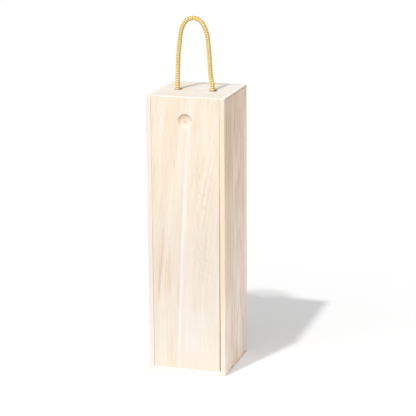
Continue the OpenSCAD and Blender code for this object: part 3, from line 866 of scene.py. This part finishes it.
def top_marks(b, centred, _normal, colour):
    """Wood round the two drilled holes, browned by the drill and by the rope's rubbing, together
    with
    painted shadow: a mask by the distance from a point 1 mm to the right and 1 mm behind the nearer
    hole's axis, so that the brown also stands for the rope's shadow beside each foot."""
    to_holes = tuple(box_measures("top_panel")[0] - (MIDDLE_X, HOLE_Y, 0.0))
    right, back, _ = b.parts(b.moved(centred, Location=to_holes))
    from_left = b.plus(right, HALF_SPACING)
    from_right = b.minus(right, HALF_SPACING)
    on_right = b.math("GREATER_THAN", right, 0.0)
    to_right = b.times(b.minus(from_right, from_left), on_right)
    off_hole = b.minus(b.plus(from_left, to_right), SHADOW_SIDE_SHIFT)
    radius = b.vector("LENGTH", b.join(off_hole, b.minus(back, SHADOW_SIDE_SHIFT), 0.0))
    uneven = b.noise(centred, (400.0, 400.0, 400.0), 3.3)
    # Painted shadow beside each foot, together with the rubbing
    rub_and_shadow = b.fade(b.math("MULTIPLY_ADD", uneven, 0.0012, radius), *RUB_AND_SHADOW_R, 0.95, 0.0)
    return b.mix(rub_and_shadow, colour, paint(*RUB_AND_SHADOW_BROWN))


# %% Wood of the other boards
# In the same order as for the lid
RIGHT_STREAKS = [
    (-34, 0, 0, 30, -110, 176, 0.7, 0.6, (234, 206, 176)),
    (-34, 0, 0, 28, -90, 120, 0.8, 0.25, (214, 184, 160)),
    (0, 0, 0, 34, -110, 60, 0.9, 0.15, (216, 192, 178)),
    (-37, 0, 0, 26, 60, 210, 0.8, 0.18, (190, 150, 104)),
    (-2, 0, 0, 30, 90, 210, 0.9, 0.15, (196, 160, 124)),
    (-36, 0, 0, 26, -240, -60, 0.9, 0.3, (253, 242, 230)),
    (-48, 0, 0, 5, -90, 176, 0.8, 0.5, (236, 204, 168)),
    (-40, 0, 0, 3, 100, 174, 0.8, 0.6, (196, 162, 124)),
    (-33, 0.01, 0, 2.6, 40, 165, 0.8, 0.45, (206, 174, 140)),
    (-22, 0, 0, 5, 60, 170, 0.8, 0.55, (206, 174, 138)),
    (-5, 0, 0, 4, 118, 164, 0.8, 0.7, (200, 158, 126)),
    (-15, 0.01, 0, 3, 20, 110, 0.8, 0.6, (208, 176, 146)),
    (4, 0.02, 0, 3, 84, 172, 0.8, 0.5, (212, 182, 150)),
    (24, 0, 0, 3, 60, 172, 0.8, 0.5, (212, 182, 150)),
    (36, 0, 0, 3, -20, 120, 0.8, 0.45, (216, 188, 160)),
    (10, 0, 0, 4, 34, 62, 0.8, 0.7, (204, 176, 142)),
    (18.5, 0, 0, 5, 16, 46, 0.8, 0.75, (198, 170, 136)),
    (7, 0.04, 0, 4, -28, 6, 0.8, 0.65, (208, 178, 152)),
    (-12, 0, 0, 2.4, -20, 26, 0.8, 0.6, (206, 178, 154)),
    (-24, 0, 0, 3, -80, 40, 0.8, 0.6, (210, 182, 156)),
    (-40, 0, 0, 2.6, -110, 30, 0.8, 0.45, (214, 184, 156)),
    (-4, -0.12, 0, 9, -22, 26, 0.9, 0.5, (253, 244, 238)),
    # This broad pale row low on the board adds painted bounce light from the floor to the figure
    (12, -0.02, 0, 14, -172, -34, 1, 0.4, (252, 243, 236)),
    (30, -0.04, 0, 3, -172, -50, 0.8, 0.55, (210, 184, 164)),
    (3, 0, 0, 4, -126, -98, 0.9, 0.6, (212, 182, 158)),
    (-18, 0, 0, 2.6, -176, -90, 0.8, 0.55, (212, 186, 166)),
    (-34, 0, 0, 2.6, -176, -110, 0.8, 0.5, (220, 192, 168)),
    (-7, 0, 0, 2, -176, -60, 0.8, 0.5, (210, 182, 162)),
    (21, 0, 0, 2.4, -176, -40, 0.8, 0.5, (210, 184, 164)),
    (38, 0, 0, 3, -176, -20, 0.8, 0.5, (212, 188, 168)),
    (42, 0, 0, 6, -100, 174, 0.8, 0.5, (255, 248, 240)),
]
# The last tone given to side_marks is painted bounce light from the floor on the outer face
board_material("left side wood", "left_side", GRAIN_UP_SIDE, (-18.0, 30.0, 0.0), lean=-0.02,
               taper=0.12, ring=0.005, seed=4.1, light=(253, 240, 222), dark=(247, 228, 206),
               end=(255, 251, 243), depths=(0.3, 0.8, 0.25, 0.25),
               extra=side_marks(-1.0, (247, 240, 229), (1.0, 1.03, 1.08)))
board_material("right side wood", "right_side", GRAIN_UP_SIDE, (14.0, -46.0, 0.0), lean=-0.03,
               taper=-0.1, ring=0.0085, waver=0.009, seed=7.7, light=(251, 235, 216),
               dark=(243, 222, 199), late=(208, 174, 143), end=(255, 251, 243),
               depths=(0.45, 0.9, 0.25, 0.4), streaks=RIGHT_STREAKS,
               extra=side_marks(1.0, (249, 236, 214), (1.03, 1.09, 1.18)))
board_material("back wood", "back_panel", GRAIN_UP, (-12.0, -34.0, 0.0), lean=0.015, taper=0.1,
               ring=0.006, seed=11.2, depths=(0.35, 0.9, 0.3, 0.25))
board_material("top wood", "top_panel", GRAIN_RIGHT, (40.0, 12.0, 0.0), lean=0.02, taper=0.06,
               ring=0.005, seed=15.9, light=(255, 250, 243), dark=(251, 243, 232),
               late=(222, 198, 168), depths=(0.4, 0.9, 0.4, 0.3), extra=top_marks)
board_material("bottom wood", "bottom_panel", GRAIN_RIGHT, (44.0, -10.0, 0.0), lean=-0.015,
               taper=0.05, ring=0.005, seed=19.4, light=(254, 250, 244), dark=(250, 243, 233),
               late=(242, 228, 212), depths=(0.25, 0.7, 0.25, 0.2))
board_material("shelf wood", "neck_shelf", GRAIN_RIGHT, (-38.0, 8.0, 0.0), lean=0.01, taper=0.05,
               ring=0.005, seed=23.8, light=(252, 244, 232), dark=(246, 234, 218),
               depths=(0.3, 0.8, 0.3, 0.2))

# %% [markdown]
# ## The brads
#
# Thin headed brads hold the boards. Their heads are set just below the wood. They are plain steel
# wire, dulled and a little brown, so the metal is broken up by a fine mottling.

# %% Brad material
MOTTLE = (1400.0, 1400.0, 1400.0)
brad_material, b, shader = new_material("dull steel wire", Metallic=0.85, IOR=2.5)
place = b.node("TexCoord").outputs["Object"]
mottle = b.noise(place, MOTTLE, 5.0, detail=3.0)
colour = b.mix(b.fade(mottle, 0.35, 0.65), paint(150, 138, 124), paint(108, 84, 62))
finish_surface(b, shader, colour, b.fade(mottle, 0.3, 0.7, 0.38, 0.62), mottle, 0.3, 0.00005)
for node in ("top_brads", "bottom_brads", "back_brads"):
    dress(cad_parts[node], brad_material)

# %% [markdown]
# ## Floor and light
#
# The box stands on a plain white floor. The key lamp stands to the left of the camera, high up, and
# far off, so that it lights all the boards alike. A weak broad lamp below it lifts the front, and a
# low card on the right lifts the lower part of the side. The shadow on the floor widens quickly to
# the back right, as from a lamp close above the front of the box, so the floor has such a lamp to
# itself: a small ball of light that lights it evenly. The arch too has a lamp to itself in place of
# the key and the fill, lower and further to the front, because a lamp from high up would leave the
# strands of an upright rope flat. The floor is darker than white to the lamps, and a little light
# is added where it is seen straight, in a mirror or through glass, so that it reads as white paper
# and still keeps the shadow.

# %% Floor
FLOOR_SIZE, FLOOR_GREY, FLOOR_GLOW = 30.0, 0.72, 0.325
half = FLOOR_SIZE / 2
floor_mesh = bpy.data.meshes.new("floor")
floor_mesh.from_pydata([(-half, -half, 0), (half, -half, 0), (half, half, 0), (-half, half, 0)], [],
                       [(0, 1, 2, 3)])
floor = add_object("floor", floor_mesh)


def seen_straight(b):
    """1 where the camera sees this surface straight, in a mirror or through glass."""
    path = b.node("LightPath").outputs
    seen = b.math("MAXIMUM", path["Is Camera Ray"], path["Is Glossy Ray"])
    return b.math("MAXIMUM", seen, path["Is Transmission Ray"])


floor_material, b, shader = new_material(
    "white floor", Roughness=1.0, Specular_IOR_Level=0.0, Emission_Color=WHITE,
    Base_Color=(FLOOR_GREY, FLOOR_GREY, FLOOR_GREY, 1.0))
b.link(b.times(seen_straight(b), FLOOR_GLOW), shader.inputs["Emission Strength"])
dress(floor, floor_material)

# %% Helpers for lamps
LEAST_DOWN = 0.05


def add_sun(name, azimuth, elevation, level, spread):
    """A lamp without falloff. At level 1 a surface that faces it renders as its colour is written,
    since a lamp of strength pi lights a matt surface to exactly its own colour. The angles are in
    degrees."""
    data = bpy.data.lights.new(name, "SUN")
    data.energy = math.pi * level
    data.angle = math.radians(spread)
    lamp = add_object(name, data)
    lamp.rotation_euler = (math.pi / 2 - math.radians(elevation), 0.0, math.radians(azimuth))
    return lamp


def add_near_lamp(name, place, level, radius):
    """A small ball of light close by. It doesn't fade with distance, and a direction gets as much
    more light as it slants, so that a level floor is lit alike everywhere: at level 1 a white
    floor renders as white."""
    data = bpy.data.lights.new(name, "POINT")
    data.energy = 4 * math.pi**2 * level
    data.shadow_soft_size = radius
    data.use_nodes = True
    b = Bench(data.node_tree)
    down = b.math("ABSOLUTE", b.parts(b.node("TexCoord").outputs["Normal"])[2])
    slant = b.math("DIVIDE", 1.0, b.math("MAXIMUM", down, LEAST_DOWN))
    even = b.node("LightFalloff", {"Strength": slant}).outputs["Constant"]
    b.link(even, data.node_tree.nodes["Emission"].inputs["Strength"])
    lamp = add_object(name, data)
    lamp.location = place
    return lamp


def limit_lamp(lamp, state, *objects):
    """INCLUDE: the lamp lights these objects alone. EXCLUDE: it lights all but these objects."""
    reach = bpy.data.collections.new(lamp.name + " reach")
    for obj in objects:
        reach.objects.link(obj)
    for member in reach.collection_objects:
        member.light_linking.link_state = state
    lamp.light_linking.receiver_collection = reach
    print(lamp.name, state, [obj.name for obj in objects])


# %% Lamps
KEY = {"azimuth": -15.0, "elevation": 58.0, "level": 0.62, "spread": 9.0}
ROPE_LAMP = {"azimuth": -8.0, "elevation": 36.0, "level": 1.05, "spread": 8.0}
FILL = {"azimuth": -12.0, "elevation": 28.0, "level": 0.262, "spread": 70.0}
FLOOR_LAMP = {"place": (-0.014, -0.227, 0.77), "level": 0.5, "radius": 0.0105}
CARD_PLACE, CARD_SIZE, CARD_WATTS = (0.62, -0.02, 0.04), (0.7, 0.2), 1.75
CARD_COLOUR = (1.0, 0.97, 0.96)

limit_lamp(add_sun("key", **KEY), "EXCLUDE", floor, arch)
limit_lamp(add_near_lamp("floor key", **FLOOR_LAMP), "INCLUDE", floor)
limit_lamp(add_sun("rope lamp", **ROPE_LAMP), "INCLUDE", arch)
limit_lamp(add_sun("fill", **FILL), "EXCLUDE", arch)
card_data = bpy.data.lights.new("card", "AREA")
card_data.shape = "RECTANGLE"
card_data.size, card_data.size_y = CARD_SIZE
card_data.energy = CARD_WATTS
card_data.color = CARD_COLOUR
card = add_object("card", card_data)
card.location = CARD_PLACE
card.rotation_euler = (math.pi / 2, 0.0, math.pi / 2)
card.visible_camera = False
limit_lamp(card, "EXCLUDE", floor, arch)

# %% The room
ROOM_LIGHT = 0.32
world = bpy.data.worlds.new("room")
bpy.context.scene.world = world
world.use_nodes = True
b = Bench(world.node_tree)
background = world.node_tree.nodes["Background"]
background.inputs["Color"].default_value = WHITE
room_light = b.math("MULTIPLY_ADD", seen_straight(b), 1 - ROOM_LIGHT, ROOM_LIGHT)
b.link(room_light, background.inputs["Strength"])
bpy.context.scene.view_settings.view_transform = "Standard"
